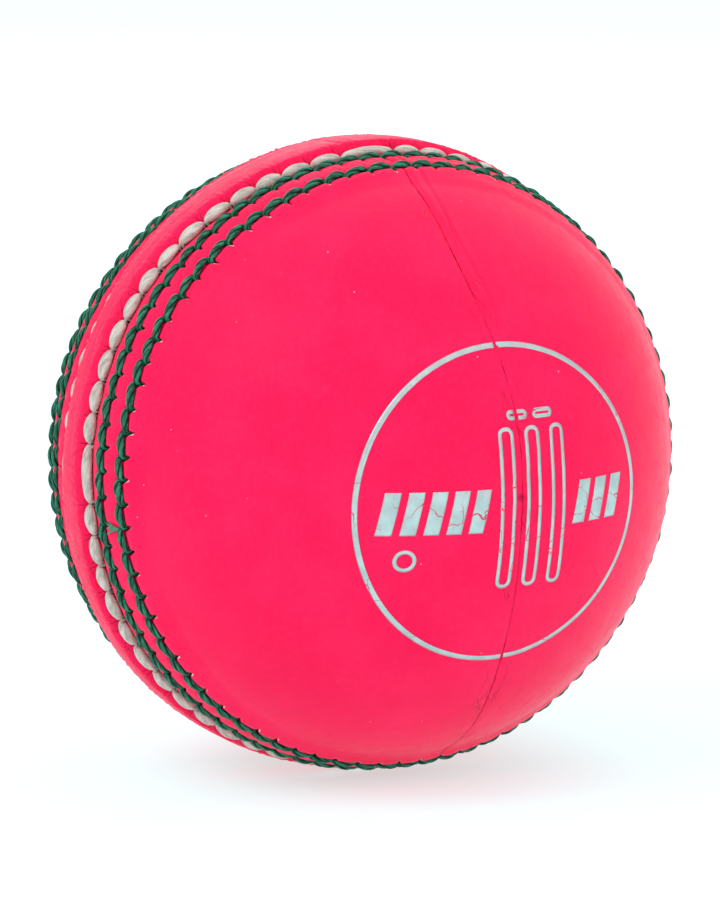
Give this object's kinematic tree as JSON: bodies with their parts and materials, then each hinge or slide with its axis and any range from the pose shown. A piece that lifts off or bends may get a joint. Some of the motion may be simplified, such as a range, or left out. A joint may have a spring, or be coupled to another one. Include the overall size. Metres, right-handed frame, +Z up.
{
  "type": "cricket ball",
  "caption": "Four-piece pink leather ball with a raised closing seam, two plain thread rows on each side, a foil stamp, and a quilted cork and yarn centre.",
  "frame": {"origin": "centre of the ball", "axes": "The seam lies in the YZ plane. +X goes out through the pole of the stamped cup, whose quarter joint lies in the XZ plane. The other cup's quarter joint lies in the XY plane. +Z is up and -Y is the front."},
  "size_m": [0.0711, 0.0728, 0.0728],
  "materials": {
    "cork": "matt cork with dark grain",
    "yarn": "undyed worsted wool yarn, wound wet and tight",
    "lining_leather": "undyed split leather, rough",
    "cover_leather": "dyed hot pink, waxed and polished to a satin gloss",
    "hidden_thread": "waxed linen thread",
    "closing_thread": "natural linen thread, off-white, with loose fibres",
    "row_thread": "dark green twisted linen thread",
    "foil": "hot-pressed silver foil, cracked"
  },
  "bodies": {
    "root": {"cork_nucleus": "cork", "yarn_winding_1": "yarn", "yarn_winding_2": "yarn", "yarn_winding_3": "yarn", "yarn_winding_4": "yarn", "yarn_winding_5": "yarn", "cork_wafers_1": "cork", "cork_wafers_2": "cork", "cork_wafers_3": "cork", "cork_wafers_4": "cork", "right_cup_lining": "lining_leather", "left_cup_lining": "lining_leather", "right_cup_front_quarter": "cover_leather", "right_cup_back_quarter": "cover_leather", "left_cup_upper_quarter": "cover_leather", "left_cup_lower_quarter": "cover_leather", "right_cup_quarter_thread": "hidden_thread", "left_cup_quarter_thread": "hidden_thread", "closing_thread_first_pass": "closing_thread", "closing_thread_second_pass": "closing_thread", "right_cup_inner_row_thread": "row_thread", "right_cup_outer_row_thread": "row_thread", "left_cup_inner_row_thread": "row_thread", "left_cup_outer_row_thread": "row_thread", "foil_stamp": "foil"}
  },
  "joints": []
}
